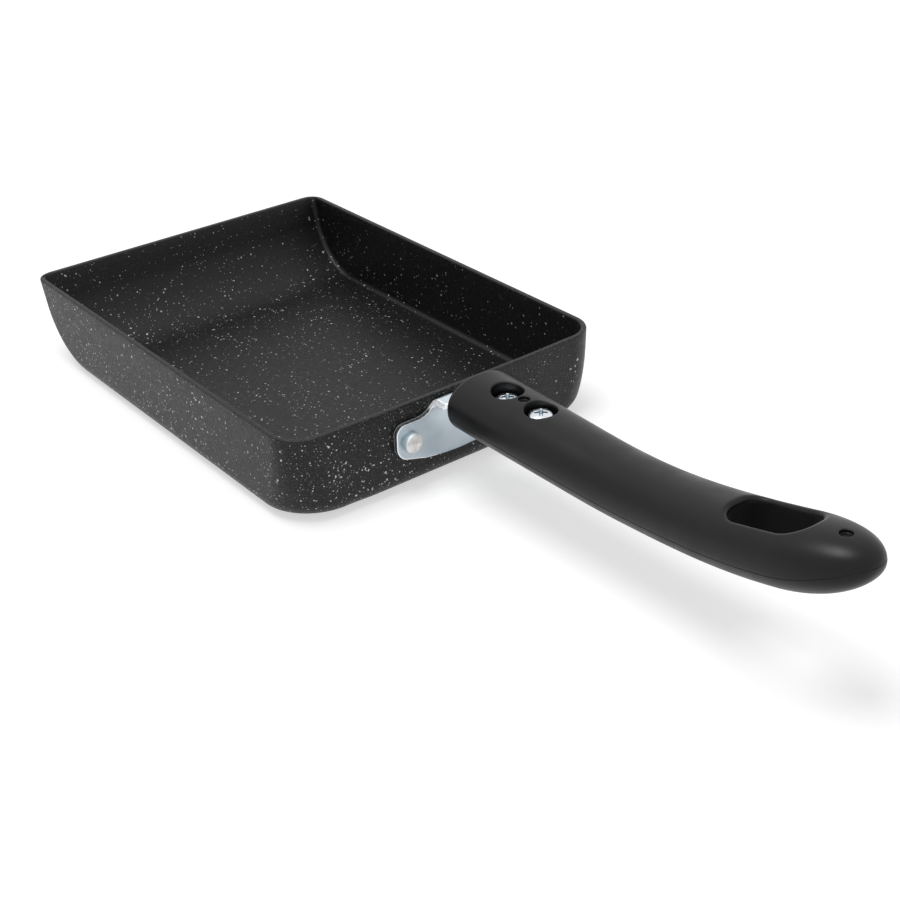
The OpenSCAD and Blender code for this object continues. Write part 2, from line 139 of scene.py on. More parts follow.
def isosurface(field, axes, relax=2):
    """Closed quad mesh of field = 0 over a grid, with every corner brought onto the surface."""
    grid = np.stack(np.meshgrid(*axes, indexing="ij"), -1)
    value = field(grid.reshape(-1, 3)).reshape(grid.shape[:3])
    inside = value < 0
    n = np.array(inside.shape) - 1
    count = sum(inside[i:n[0] + i, j:n[1] + j, k:n[2] + k].astype(int)
                for i in (0, 1) for j in (0, 1) for k in (0, 1))
    active = (count > 0) & (count < 8)
    cell = np.argwhere(active)
    index = np.full(active.shape, -1)
    index[active] = np.arange(len(cell))
    total, hits = np.zeros((len(cell), 3)), np.zeros(len(cell))
    for axis in range(3):
        unit = np.eye(3, dtype=int)[axis]
        for a in (0, 1):
            for b in (0, 1):
                c0 = cell + np.roll(np.array([0, a, b]), axis)
                c1 = c0 + unit
                v0, v1 = value[tuple(c0.T)], value[tuple(c1.T)]
                crossed = (v0 < 0) != (v1 < 0)
                t = (v0 / np.where(crossed, v0 - v1, 1))[:, None]
                p = grid[tuple(c0.T)] * (1 - t) + grid[tuple(c1.T)] * t
                total[crossed] += p[crossed]
                hits[crossed] += 1
    points = total / hits[:, None]
    faces = []
    for axis in range(3):
        b, c = (axis + 1) % 3, (axis + 2) % 3
        low = np.take(inside, range(n[axis]), axis)
        high = np.take(inside, range(1, n[axis] + 1), axis)
        edge = np.argwhere(low != high)
        ub, uc = np.eye(3, dtype=int)[b], np.eye(3, dtype=int)[c]
        around = [edge - ub - uc, edge - uc, edge, edge - ub]
        quad = np.stack([index[tuple(q.T)] for q in around], -1)
        outward = low[tuple(edge.T)]
        faces.append(np.where(outward[:, None], quad, quad[:, ::-1]))
    faces = np.concatenate(faces)
    reach = min(np.diff(a).min() for a in axes)

    def settle(p, rounds):
        for _ in range(rounds):
            g = gradient(field, p)
            step = (field(p) / np.maximum((g * g).sum(1), 1e-6))[:, None] * g
            size = np.linalg.norm(step, axis=1, keepdims=True)
            p = p - step * np.minimum(1, reach / np.maximum(size, 1e-9))
        return p

    points = settle(points, 4)
    ends = np.concatenate([faces, np.roll(faces, -1, 1)]).reshape(2, -1)
    for _ in range(relax):
        near, ways = np.zeros_like(points), np.zeros(len(points))
        for p, q in (ends, ends[::-1]):
            np.add.at(near, p, points[q])
            np.add.at(ways, p, 1)
        points = settle(points + 0.5 * (near / ways[:, None] - points), 2)
    return settle(points, 3), faces


def both(a, b, r):
    """Where two fields overlap, with the edge between them rounded to radius r."""
    return np.minimum(-r, np.maximum(a, b)) + np.hypot(np.maximum(r + a, 0), np.maximum(r + b, 0))


def either(a, b, r):
    """Either of two fields, with the corner between them filled to radius r."""
    return np.maximum(r, np.minimum(a, b)) - np.hypot(np.maximum(r - a, 0), np.maximum(r - b, 0))


def cut(a, tool, r):
    """A field less a tool's, with the cut's edge rounded to radius r."""
    return both(a, -tool, r)


def spaced(*runs):
    """Grid coordinates through runs of (start, stop, step)."""
    parts = [np.linspace(a, b, max(2, round((b - a) / h) + 1))[:-1] for a, b, h in runs]
    return np.concatenate(parts + [[runs[-1][1]]])


# Pan
def drop(r, z):
    """Inset of a rounded lower edge of radius r, at height z above its lowest line."""
    return np.where(z >= r, 0, r - np.sqrt(np.maximum(0, r * r - (r - z) ** 2)))


def pan_ring(z, near, far, half_w, h, cr, fr, er, trim):
    """Level outline of the pan's form, finer than the solid's but on the same surface.

    near and far are the form's ends in X, h is its height, cr the curl's radius, fr and er the lower
    roundings of the sides and of the handle end, and trim comes off the upright corners' radius."""
    steps, bow_steps = 20, 12
    near_x = near - (h - z) * math.tan(DRAFT) - float(drop(er, z))
    side_y = half_w - (h - z) * math.tan(DRAFT) - float(drop(fr, z))
    r = RIM_CORNER + (BASE_CORNER - RIM_CORNER) * max(0, 1 - z / h) ** CORNER_POWER - trim
    rx, ry = r - float(drop(er, z)), r - float(drop(fr, z))
    y1 = side_y - ry
    a = np.linspace(-math.pi / 2, 0, steps, endpoint=False)
    corner = np.stack([near_x - rx + rx * np.cos(a), -y1 + ry * np.sin(a)], -1)
    t = np.linspace(1, 0, bow_steps + 1)
    bow = END_BOW * np.cos(math.pi / 2 * t) ** 2
    ease = np.stack([near_x + bow, -FLAT_HALF - (y1 - FLAT_HALF) * t], -1)
    half = np.concatenate([corner, ease])
    top = cr * (1 - math.sin(LEAN))
    foot = far + (h - top) * math.tan(LEAN) + cr * math.cos(LEAN)
    y0 = half_w - (h - z) * math.tan(DRAFT) - fr
    a1 = math.pi / 2 if z >= fr else math.acos(1 - z / fr)
    a = np.linspace(a1, 0, steps + 1)
    k = fr * (1 - np.cos(a))
    on_curl = (cr - z) / (cr - k) >= math.sin(LEAN)
    arc = foot - np.sqrt(np.maximum(0, (cr - k) ** 2 - (cr - z) ** 2))
    flat = far + (h - z) * math.tan(LEAN) + k / math.cos(LEAN)
    curl = np.stack([np.where(on_curl, arc, flat), y0 + fr * np.sin(a)], -1)
    flip = np.array([1, -1])
    outline = np.concatenate([half, half[::-1] * flip, curl, curl[::-1] * flip])
    return np.column_stack([outline, np.full(len(outline), float(z))])


def curl_levels(cr, rest):
    """Heights of the rings: evenly round the curl of radius cr, and then the rest."""
    turn = np.linspace(0, math.pi / 2 - LEAN, 40)
    return list(np.maximum(FIRST_LEVEL, cr * (1 - np.cos(turn)))) + rest


def pan_rings():
    """Rings up the outside, over the rounded rim and down the inside."""
    rings = []
    ease = RIM_EASE
    for z in curl_levels(CURL_R, OUTER_LEVELS + [PAN_H - ease]):
        rings.append(pan_ring(z, PAN_L / 2, -PAN_L / 2, PAN_W / 2, PAN_H, CURL_R, SIDE_ROUND, END_ROUND, 0))
    rings[0][:, 2] = 0
    for t in np.linspace(0, math.pi / 2, 6)[1:]:
        e = ease * (1 - math.cos(t))
        rings.append(pan_ring(PAN_H - ease * (1 - math.sin(t)), PAN_L / 2 - e, -PAN_L / 2 + e,
                              PAN_W / 2 - e, PAN_H, CURL_R, SIDE_ROUND, END_ROUND, e))
    depth = PAN_H - BASE_T
    inner = []
    for z in curl_levels(CURL_R - WALL_T, INNER_LEVELS + [depth - ease]):
        inner.append((z, 0))
    for t in np.linspace(0, math.pi / 2, 6)[1:]:
        inner.append((depth - ease * (1 - math.sin(t)), ease * (1 - math.cos(t))))
    for z, e in reversed(inner):
        ring = pan_ring(z, PAN_L / 2 - WALL_T + e, -PAN_L / 2 + WALL_T / math.cos(LEAN) - e,
                        PAN_W / 2 - WALL_T + e, depth, CURL_R - WALL_T, INNER_ROUND,
                        END_ROUND - WALL_T, WALL_T - e)
        ring[:, 2] += BASE_T
        rings.append(ring)
    rings[-1][:, 2] = BASE_T
    return rings


def make_pan(material):
    rings = pan_rings()
    faces = ring_faces(len(rings), len(rings[0]))
    add_piece("pan", np.concatenate(rings), faces, material, "coating", "pan_body")


# Handle
def through(s, values):
    """The smooth curve through the stations' values, as in the part's source."""
    at, v = np.array(STATIONS, float), values
    i = (s >= at[1]).astype(int)
    d = np.where(i == 0, at[1] - at[0], at[2] - at[1])
    u = np.clip((s - at[i]) / d, 0, 1)
    mid = (v[2] - v[0]) / (at[2] - at[0])
    v0, v1 = np.where(i == 0, v[0], v[1]), np.where(i == 0, v[1], v[2])
    m0, m1 = np.where(i == 0, 0, mid), np.where(i == 0, mid, 0)
    return ((2 * u ** 3 - 3 * u ** 2 + 1) * v0 + (u ** 3 - 2 * u ** 2 + u) * d * m0
            + (3 * u ** 2 - 2 * u ** 3) * v1 + (u ** 3 - u ** 2) * d * m1)


def grip_to_wall(p):
    """Handle coordinates (along, across, above the middle line) as points in the wall's frame."""
    s, y, v = p[..., 0], p[..., 1], p[..., 2]
    a = np.maximum(0, s - STRAIGHT) / BEND_R
    x = GRIP_GAP + np.minimum(s, STRAIGHT) + (BEND_R - v) * np.sin(a)
    z = GRIP_MID + BEND_R - (BEND_R - v) * np.cos(a)
    return np.stack([x, y, z], -1)


def grip_level(p):
    """Below 0 inside the handle's plain form, 0 on its surface."""
    s, y, v = p[..., 0], np.abs(p[..., 1]), np.abs(p[..., 2])
    e = ((y / through(s, HALF_WIDTHS)) ** SECTION_POWER
         + (v / through(s, HALF_HEIGHTS)) ** SECTION_POWER) ** (1 / SECTION_POWER)
    u = np.maximum(0, (s - GRIP_L + TAIL_CLOSE) / TAIL_CLOSE)
    return (e ** CLOSE_POWER + u ** CLOSE_POWER) ** (1 / CLOSE_POWER) - 1


def grip_form(p):
    """About the distance from the handle's plain form."""
    g = grip_level(p)
    eps = 0.02
    slope = sum(((grip_level(p + eps * d) - g) / eps) ** 2 for d in np.eye(3))
    return g / np.sqrt(np.maximum(slope, 1e-5))


def grip_top(s):
    """Height of the handle's top above its middle line."""
    u = max(0, (s - GRIP_L + TAIL_CLOSE) / TAIL_CLOSE)
    half_height = float(through(np.array([float(s)]), HALF_HEIGHTS)[0])
    return half_height * (1 - u ** CLOSE_POWER) ** (1 / CLOSE_POWER)


def parting(s):
    """Height of the mould's parting line over the middle line, which it nears at the tail."""
    low, rise, start, reach = -2.4, 1.9, 136, 26
    t = np.clip((s - start) / reach, 0, 1)
    return low + rise * t * t * (3 - 2 * t)


def box_2d(x, y, half_x, half_y, r):
    """Distance from a rectangle with corners of radius r."""
    qx, qy = np.abs(x) - half_x + r, np.abs(y) - half_y + r
    return np.hypot(np.maximum(qx, 0), np.maximum(qy, 0)) + np.minimum(np.maximum(qx, qy), 0) - r


def dimple(s, y, v, at):
    """Flat-floored round dimple, square to the handle's top at s = at."""
    lean = math.atan2(grip_top(at - 0.5) - grip_top(at + 0.5), 1)
    along, up = s - at, v - grip_top(at)
    level = along * math.cos(lean) - up * math.sin(lean)
    height = along * math.sin(lean) + up * math.cos(lean)
    return np.maximum(np.hypot(level, y) - DIMPLE_R, -DIMPLE_DEPTH - height)


def grip_field(q):
    """The moulded handle with its wells, slot, socket and dimples. The third coordinate is measured
    from the parting line, so that the grid's rows follow it."""
    p = q.copy()
    p[..., 2] += parting(q[..., 0])
    s, y, v, w = p[..., 0], p[..., 1], p[..., 2], q[..., 2]
    wall = grip_to_wall(p)
    x, z = wall[..., 0], wall[..., 2]
    d = both(grip_form(p), -s, FRONT_ROUND)
    d = d + RIDGE_H * np.exp(-(w / RIDGE_W) ** 2)
    for sx, floor in zip(SCREW_X, WELL_FLOORS):
        around = np.hypot(x - sx, y)
        d = cut(d, np.maximum(around - WELL_R, floor - z), WELL_EDGE)
        screw_end = floor + WASHER_T - SCREW_L
        d = cut(d, np.maximum(around - BORE_R, screw_end - END_GAP - z), BORE_EDGE)
    d = cut(d, np.maximum(np.maximum(x - TANG_L - END_GAP, np.abs(y) - TANG_HALF - SIDE_GAP),
                          np.abs(z - TANG_MID) - PLATE_T / 2 - FACE_GAP), SOCKET_EDGE)
    low = TANG_MID - PLATE_T / 2 - COLLAR_H - BELOW_COLLARS
    d = cut(d, np.maximum(np.maximum(x - SCREW_X[1] - COLLAR_ROOM, np.abs(y) - COLLAR_ROOM),
                          np.maximum(z - TANG_MID, low - z)), COLLAR_EDGE)
    along = x - GRIP_GAP - SLOT_AT
    corner = np.where(along < 0, *SLOT_CORNERS)
    d = cut(d, box_2d(along, y, SLOT_HALF_L, SLOT_HALF_W, corner), SLOT_ROUND)
    for at in DIMPLES_S:
        d = cut(d, dimple(s, y, v, at), DIMPLE_EDGE)
    return d


def make_grip(material):
    """The grid is finer at the wells, the dimples, the slot and the parting line."""
    along = spaced((-0.7, 9, 0.45), (9, 40, 0.3), (40, 110, 0.7), (110, 145, 0.35), (145, 156, 0.25),
                   (156, GRIP_L + 0.7, 0.4))
    across = spaced((-14.2, -9, 0.4), (-9, 9, 0.28), (9, 14.2, 0.4))
    up = spaced((-9, -0.6, 0.5), (-0.6, -0.3, 0.1), (-0.3, 0.3, 0.05), (0.3, 0.6, 0.1), (0.6, 6, 0.5),
                (6, 13, 0.27))
    q, faces = isosurface(grip_field, (along, across, up))
    q[:, 2] += parting(q[:, 0])
    add_piece("handle", to_world(grip_to_wall(q)), faces, material, "phenolic", "handle_grip")


# Bracket
def bracket_map(q):
    """Sheet coordinates (along the sheet, across, through it) as points in the wall's frame."""
    t, y, n = q[..., 0], q[..., 1], q[..., 2]
    mid_r = FOLD_R + PLATE_T / 2
    a = np.clip((t - FOLD_LEVEL) / mid_r, 0, math.pi / 2)
    past = np.maximum(0, t - FOLD_LEVEL - mid_r * math.pi / 2)
    x = FOLD_OUTER - (mid_r - n) * np.cos(a) + past
    z = np.minimum(t, FOLD_LEVEL) + (mid_r - n) * np.sin(a)
    return np.stack([x, y, z], -1)


def bracket_field(q):
    """The bent sheet: wings and necks on the wall, and the tang past the fold. Its edges roll over
    further along the sheet than through it."""
    y, n = np.abs(q[..., 1]), q[..., 2]
    wall = bracket_map(q)
    x, z = wall[..., 0], wall[..., 2]
    wing = both(both(y - PLATE_W / 2, z + WING_TOP, WING_CORNER),
                np.hypot(y, z + WING_LOW - WING_SAG_R) - WING_SAG_R, WING_CORNER)
    flat = either(wing, np.maximum(y - TANG_HALF, -NECK_LOW - z), NECK_R)
    end = both(y - TANG_HALF, x - TANG_L, WING_CORNER)
    outline = np.where(x > FOLD_OUTER + TANG_FROM, end, flat)
    roll = 0.3
    return both(outline * roll, np.abs(n) - PLATE_T / 2, SHEET_EDGE)


def make_bracket(material):
    fold = (FOLD_R + PLATE_T / 2) * math.pi / 2
    start = FOLD_LEVEL + fold - FOLD_OUTER
    end = TANG_L + start
    along = spaced((-23.2, 0.5, 0.25), (0.5, 8, 0.35), (8, end - 4, 1.2), (end - 4, end + 0.8, 0.4))
    across = spaced((-26.6, 26.6, 0.26))
    through_sheet = spaced((-1.45, -0.5, 0.19), (-0.5, 0.5, 0.33), (0.5, 1.45, 0.19))
    q, faces = isosurface(bracket_field, (along, across, through_sheet), relax=1)
    add_piece("bracket", to_world(bracket_map(q)), faces, material, "zinc_plate", "handle_bracket")


# Rivets
def turned(profile, n=72):
    """Surface of revolution about X from (radius, x) pairs, with its first and last near the axis."""
    rings = []
    a = np.linspace(0, 2 * math.pi, n, endpoint=False)
    for r, x in profile:
        rings.append(np.stack([np.full(n, x), r * np.cos(a), r * np.sin(a)], -1))
    return np.concatenate(rings), ring_faces(len(profile), n)


def rounded(r, x0, x1, round_r, steps):
    """Profile of an end face's rounded edge, from the face at x1 down to x0."""
    arc = [(r - round_r + round_r * math.cos(t), x1 - round_r * (1 - math.sin(t)))
           for t in np.linspace(math.pi / 2, 0, steps)]
    return arc + [(r, x0)]


def make_rivet(name, node, side, material, seed):
    """A rivet with a low dome inside the pan and a formed end that is a little dished and uneven."""
    rng = np.random.default_rng(seed)
    end = PLATE_T + TAIL_H
    dish = [(0.02, end - 0.18), (0.8, end - 0.16), (1.5, end - 0.08), (2.2, end - 0.02)]
    tail = dish + rounded(TAIL_R, PLATE_T + 0.01, end, TAIL_ROUND, 9)
    dome = [(HEAD_R * math.cos(t), -WALL_T - HEAD_RIM - (HEAD_H - HEAD_RIM) * math.sin(t))
            for t in np.linspace(0, math.pi / 2 - 0.005, 14)]
    profile = tail + [(RIVET_R, PLATE_T), (RIVET_R, -WALL_T), (HEAD_R - 0.15, -WALL_T)] + dome
    p, faces = turned(profile)
    a = np.arctan2(p[:, 2], p[:, 1])
    r = np.hypot(p[:, 1], p[:, 2])
    on_tail = (p[:, 0] > PLATE_T + 0.3) & (r > 0.05)
    wave = sum(rng.uniform(-1, 1) * np.cos(k * a + rng.uniform(0, 6.28)) / k for k in range(2, 7))
    sink, pinch = 0.06, 0.006
    p[on_tail, 0] -= (sink * np.abs(wave) * (r / TAIL_R) ** 2)[on_tail]
    squeeze = 1 - pinch * np.abs(wave) * np.clip((p[:, 0] - PLATE_T) / TAIL_H, 0, 1)
    p[on_tail, 1] *= squeeze[on_tail]
    p[on_tail, 2] *= squeeze[on_tail]
    p += np.array([0, side * RIVET_Y, RIVET_Z])
    add_piece(name, to_world(p), faces, material, "rivet_metal", node)


# Screws and washers
def screw_field(p):
    """Domed head with a cross recess above z = 0, and a threaded shank below."""
    x, y, z = p[..., 0], p[..., 1], p[..., 2]
    r = np.hypot(x, y)
    rise, top = np.maximum(z - HEAD_SIDE, 0), SCREW_HEAD_H - HEAD_SIDE
    level = np.hypot(r / SCREW_HEAD_R, rise / top)
    slope = np.hypot(r / SCREW_HEAD_R ** 2, rise / top ** 2)
    d = both((level - 1) * level / np.maximum(slope, 1e-3), -z, 0.15)
    turn, deep = RECESS_TURN, SCREW_HEAD_H - z
    u, v = x * math.cos(turn) + y * math.sin(turn), -x * math.sin(turn) + y * math.cos(turn)
    end_taper, side_taper, core_taper = 0.75, 0.09, 0.35
    wings = np.minimum(*(np.maximum(np.abs(a) - RECESS_REACH + end_taper * deep,
                                    np.abs(b) - RECESS_HALF_W + side_taper * deep)
                         for a, b in ((u, v), (v, u))))
    core = (np.abs(u) + np.abs(v)) / math.sqrt(2) - RECESS_CORE + core_taper * deep
    recess = np.maximum(either(wings, core, 0.12), deep - RECESS_DEPTH)
    d = cut(d, recess, 0.07)
    a = np.arctan2(y, x) / (2 * math.pi)
    tooth = np.abs(((z / THREAD_PITCH - a) % 1) - 0.5) * 2
    point = np.clip(-SCREW_L + 1 - z, 0, 1) * 0.9
    thread = r - (THREAD_R - point) + THREAD_DEPTH * np.clip(1.25 * tooth - 0.12, 0, 1)
    shank = np.maximum(np.maximum(thread, z - 0.3), -SCREW_L - z + 0.02)
    return np.minimum(d, shank)


def make_screw(name, node, i, material):
    across = spaced((-4.4, 4.4, 0.11))
    up = spaced((-12.3, -0.6, 0.1), (-0.6, 2.7, 0.1))
    p, faces = isosurface(screw_field, (across, across, up), relax=0)
    p = p + np.array([SCREW_X[i], 0, WELL_FLOORS[i] + WASHER_T])
    add_piece(name, to_world(p), faces, material, "screw_steel", node)


def make_washer(name, node, i, material):
    """Split ring with its two ends a little apart, pressed nearly flat."""
    inner, outer, t, e = WASHER_BORE_R, WASHER_R, WASHER_T, WASHER_EDGE
    section = [(inner + 0.1, 0), (outer - e, 0), (outer, e), (outer, t - e),
               (outer - e, t), (inner + 0.1, t), (inner, t - 0.1), (inner, 0.1)]
    half_gap = 9
    a = np.linspace(math.radians(half_gap), math.radians(360 - half_gap), 90)
    rings = [np.array([[r * math.cos(q), r * math.sin(q), z] for r, z in section]) for q in a]
    p = np.concatenate(rings) + np.array([SCREW_X[i], 0, WELL_FLOORS[i]])
    add_piece(name, to_world(p), ring_faces(len(a), len(section)), material, "screw_steel", node)


# Materials
class Shade:
    """A material's node tree, with a line for each node."""

    def __init__(self, name, color, roughness, metallic=0.0):
        self.material = bpy.data.materials.new(name)
        self.material.use_nodes = True
        self.tree = self.material.node_tree
        self.bsdf = self.tree.nodes["Principled BSDF"]
        self.set(self.bsdf, "Base Color", (*color, 1))
        self.set(self.bsdf, "Roughness", roughness)
        self.set(self.bsdf, "Metallic", metallic)
        coord = self.tree.nodes.new("ShaderNodeTexCoord")
        self.mm = self.node("ShaderNodeVectorMath", {0: coord.outputs["Object"], "Scale": 1000.0},
                            operation="SCALE").outputs[0]
        self.normal = coord.outputs["Normal"]

    def set(self, node, key, value):
        socket = node.inputs[key]
        if isinstance(value, bpy.types.NodeSocket):
            self.tree.links.new(value, socket)
        else:
            socket.default_value = value

    def node(self, kind, inputs=None, **props):
        n = self.tree.nodes.new(kind)
        for k, v in props.items():
            setattr(n, k, v)
        for k, v in (inputs or {}).items():
            self.set(n, k, v)
        return n

    def math(self, operation, a, b=0.0, clamp=False):
        return self.node("ShaderNodeMath", {0: a, 1: b}, operation=operation, use_clamp=clamp).outputs[0]

    def split(self, vector):
        return self.node("ShaderNodeSeparateXYZ", {0: vector}).outputs

    def noise(self, scale, detail=2.0, out="Fac"):
        inputs = {"Vector": self.mm, "Scale": scale, "Detail": detail}
        return self.node("ShaderNodeTexNoise", inputs).outputs[out]

    def vector(self, operation, a, b):
        return self.node("ShaderNodeVectorMath", {0: a, 1: b}, operation=operation).outputs

    def ramp(self, value, low, high, to_low=0.0, to_high=1.0, smooth=True):
        return self.node("ShaderNodeMapRange", {0: value, 1: low, 2: high, 3: to_low, 4: to_high},
                         interpolation_type="SMOOTHSTEP" if smooth else "LINEAR").outputs[0]

    def mix(self, factor, a, b):
        n = self.node("ShaderNodeMix", {}, data_type="RGBA")
        for key, value in ((0, factor), (6, a), (7, b)):
            if not isinstance(value, bpy.types.NodeSocket) and key > 0 and len(value) == 3:
                value = (*value, 1)
            self.set(n, key, value)
        return n.outputs[2]

    def bump(self, height, strength, distance):
        inputs = {"Height": height, "Strength": strength, "Distance": distance * MM}
        return self.node("ShaderNodeBump", inputs).outputs[0]


def speckles(s, vector, cell, radius, share, soft, cluster, seed):
    """Round spots in a share of the cells: (spot factor, random number of the cell)."""
    moved = s.vector("ADD", vector, (seed * 13.7, seed * 7.3, seed * 3.1))[0]
    v = s.node("ShaderNodeTexVoronoi", {"Vector": moved, "Scale": 1 / cell}, voronoi_dimensions="3D")
    rgb = s.node("ShaderNodeSeparateColor", {0: v.outputs["Color"]})
    kept = s.math("LESS_THAN", rgb.outputs[0], share)
    size = s.ramp(rgb.outputs[2], 0, 1, 0.7 * radius / cell, radius / cell, smooth=False)
    size = s.math("MULTIPLY", s.math("MULTIPLY", size, cluster), kept)
    spot = s.math("MULTIPLY", s.math("SUBTRACT", size, v.outputs["Distance"]), cell / soft, clamp=True)
    return spot, rgb.outputs[1]


def coating():
    """Black coating with white speckles, which thin out across the pan as in the photo."""
    s = Shade("speckled_coating", (0.0045, 0.0045, 0.0047), 0.42)
    s.set(s.bsdf, "Specular IOR Level", 0.28)
    above_pan = (0, 0, 45)
    facing = s.vector("DOT_PRODUCT", s.vector("SUBTRACT", s.mm, above_pan)[0], s.normal)["Value"]
    outside = s.ramp(facing, 2, 8, 0, 1)
    wobble = s.vector("SUBTRACT", s.noise(0.9, 2, out="Color"), (0.5, 0.5, 0.5))[0]
    where = s.vector("ADD", s.mm, wobble)[0]
    cluster = s.ramp(s.noise(0.06, 3), 0.35, 0.65, 0.8, 1.1)
    x, y, z = s.split(s.mm)
    nx, _, nz = s.split(s.normal)
    spread = s.ramp(s.math("ADD", s.math("MULTIPLY", x, 0.5), y), -110, 110, 1, 0.35, smooth=False)
    inner = s.ramp(nz, 0.3, 0.9, 0.45, 0.65)
    outer = s.ramp(nx, 0.3, 0.9, 0.8, s.ramp(y, -20, 40, 1.5, 0.5))
    amount = s.math("MULTIPLY", spread, s.ramp(outside, 0, 1, inner, outer, smooth=False))
    # Painted shade: the speckles are dimmer inside the pan than on the outer walls.
    inside_painted_shade = s.ramp(outside, 0, 1, 0.58, 1, smooth=False)
    below_rim = s.ramp(z, PAN_H - 0.75, PAN_H - 0.35, 1, 0)
    total = None
    layers = ((2.4, 0.5, 0.45, 0.1), (1.5, 0.36, 0.5, 0.1), (0.9, 0.22, 0.55, 0.08))
    for seed, (cell, radius, most, soft) in enumerate(layers, 1):
        share = s.math("MULTIPLY", amount, most)
        spot, random = speckles(s, where, cell, radius, share, soft, cluster, seed)
        spot = s.math("MULTIPLY", spot, s.math("MULTIPLY", inside_painted_shade, s.ramp(random, 0, 1, 0.55, 1)))
        total = spot if total is None else s.math("MAXIMUM", total, spot)
    total = s.math("MULTIPLY", total, below_rim)
    mottle = s.ramp(s.noise(1.5, 3), 0.45, 0.68, 0, 1)
    # Painted light: the base colour is lighter on the outer walls than inside the pan.
    light = s.mix(outside, (0.009, 0.009, 0.0092), (0.036, 0.036, 0.0365))
    base = s.mix(mottle, (0.0025, 0.0025, 0.0027), light)
    s.set(s.bsdf, "Base Color", s.mix(total, base, (0.97, 0.96, 0.94)))
    s.set(s.bsdf, "Roughness", s.ramp(s.noise(0.5, 4), 0.3, 0.7, 0.38, 0.46))
    s.set(s.bsdf, "Normal", s.bump(s.noise(1.3, 3), 0.8, 0.17))
    return s.material


def phenolic():
    """Satin black resin, matt inside the hanging slot."""
    s = Shade("black_phenolic", (0.01, 0.01, 0.0105), 0.36)
    s.set(s.bsdf, "Specular IOR Level", 0.25)
    x, y, z = s.split(s.mm)
    slot_x = END_X + GRIP_GAP + SLOT_AT
    slot_rise, slot_sag, slot_top = 0.235, 0.022, 47.8
    along = s.math("SUBTRACT", x, slot_x)
    above = s.math("SUBTRACT", z, s.math("MULTIPLY", along, slot_rise))
    above = s.math("ADD", above, s.math("MULTIPLY", s.math("MULTIPLY", y, y), slot_sag))
    deep = s.math("MULTIPLY", s.ramp(above, slot_top - 2.2, slot_top - 1.2, 1, 0),
                  s.ramp(s.math("ABSOLUTE", y), SLOT_HALF_W + 0.3, SLOT_HALF_W + 1, 1, 0))
    deep = s.math("MULTIPLY", deep, s.ramp(s.math("ABSOLUTE", along),
                                           SLOT_HALF_L + 0.5, SLOT_HALF_L + 1.2, 1, 0))
    gloss = s.ramp(s.noise(0.12, 4), 0.3, 0.7, 0.33, 0.42)
    s.set(s.bsdf, "Roughness", s.math("MAXIMUM", gloss, s.math("MULTIPLY", deep, 0.95)))
    s.set(s.bsdf, "Base Color", s.mix(s.noise(0.3, 3), (0.0035, 0.0035, 0.0037), (0.0055, 0.0055, 0.0057)))
    s.set(s.bsdf, "Normal", s.bump(s.noise(3.5, 2), 0.12, 0.02))
    return s.material


def zinc_screw():
    """Plated screws, with painted shade inside the cross recess."""
    s = Shade("zinc_screw", (0.78, 0.82, 0.85), 0.26, 1.0)
    x, y, _ = s.split(s.mm)
    half_pitch = (SCREW_X[1] - SCREW_X[0]) / 2
    middle = END_X + SCREW_X[0] + half_pitch
    aside = s.math("SUBTRACT", s.math("ABSOLUTE", s.math("SUBTRACT", x, middle)), half_pitch)
    from_axis = s.math("SQRT", s.math("ADD", s.math("MULTIPLY", aside, aside), s.math("MULTIPLY", y, y)))
    steep = s.ramp(s.split(s.normal)[2], 0.7, 0.88, 1, 0)
    # Painted shade: the base colour is darker on the steep walls of the cross recess.
    recess = s.math("MULTIPLY", s.ramp(from_axis, 2.4, 2.8, 1, 0), steep)
    cloud = s.ramp(s.noise(0.3, 4), 0.3, 0.7, 0, 1)
    plate = s.mix(cloud, (0.58, 0.63, 0.68), (0.78, 0.82, 0.86))
    s.set(s.bsdf, "Base Color", s.mix(recess, plate, (0.3, 0.37, 0.42)))
    s.set(s.bsdf, "Roughness", s.ramp(s.noise(1.1, 4), 0.3, 0.7, 0.21, 0.32))
    s.set(s.bsdf, "Normal", s.bump(s.noise(1.5, 3), 0.15, 0.02))
    return s.material


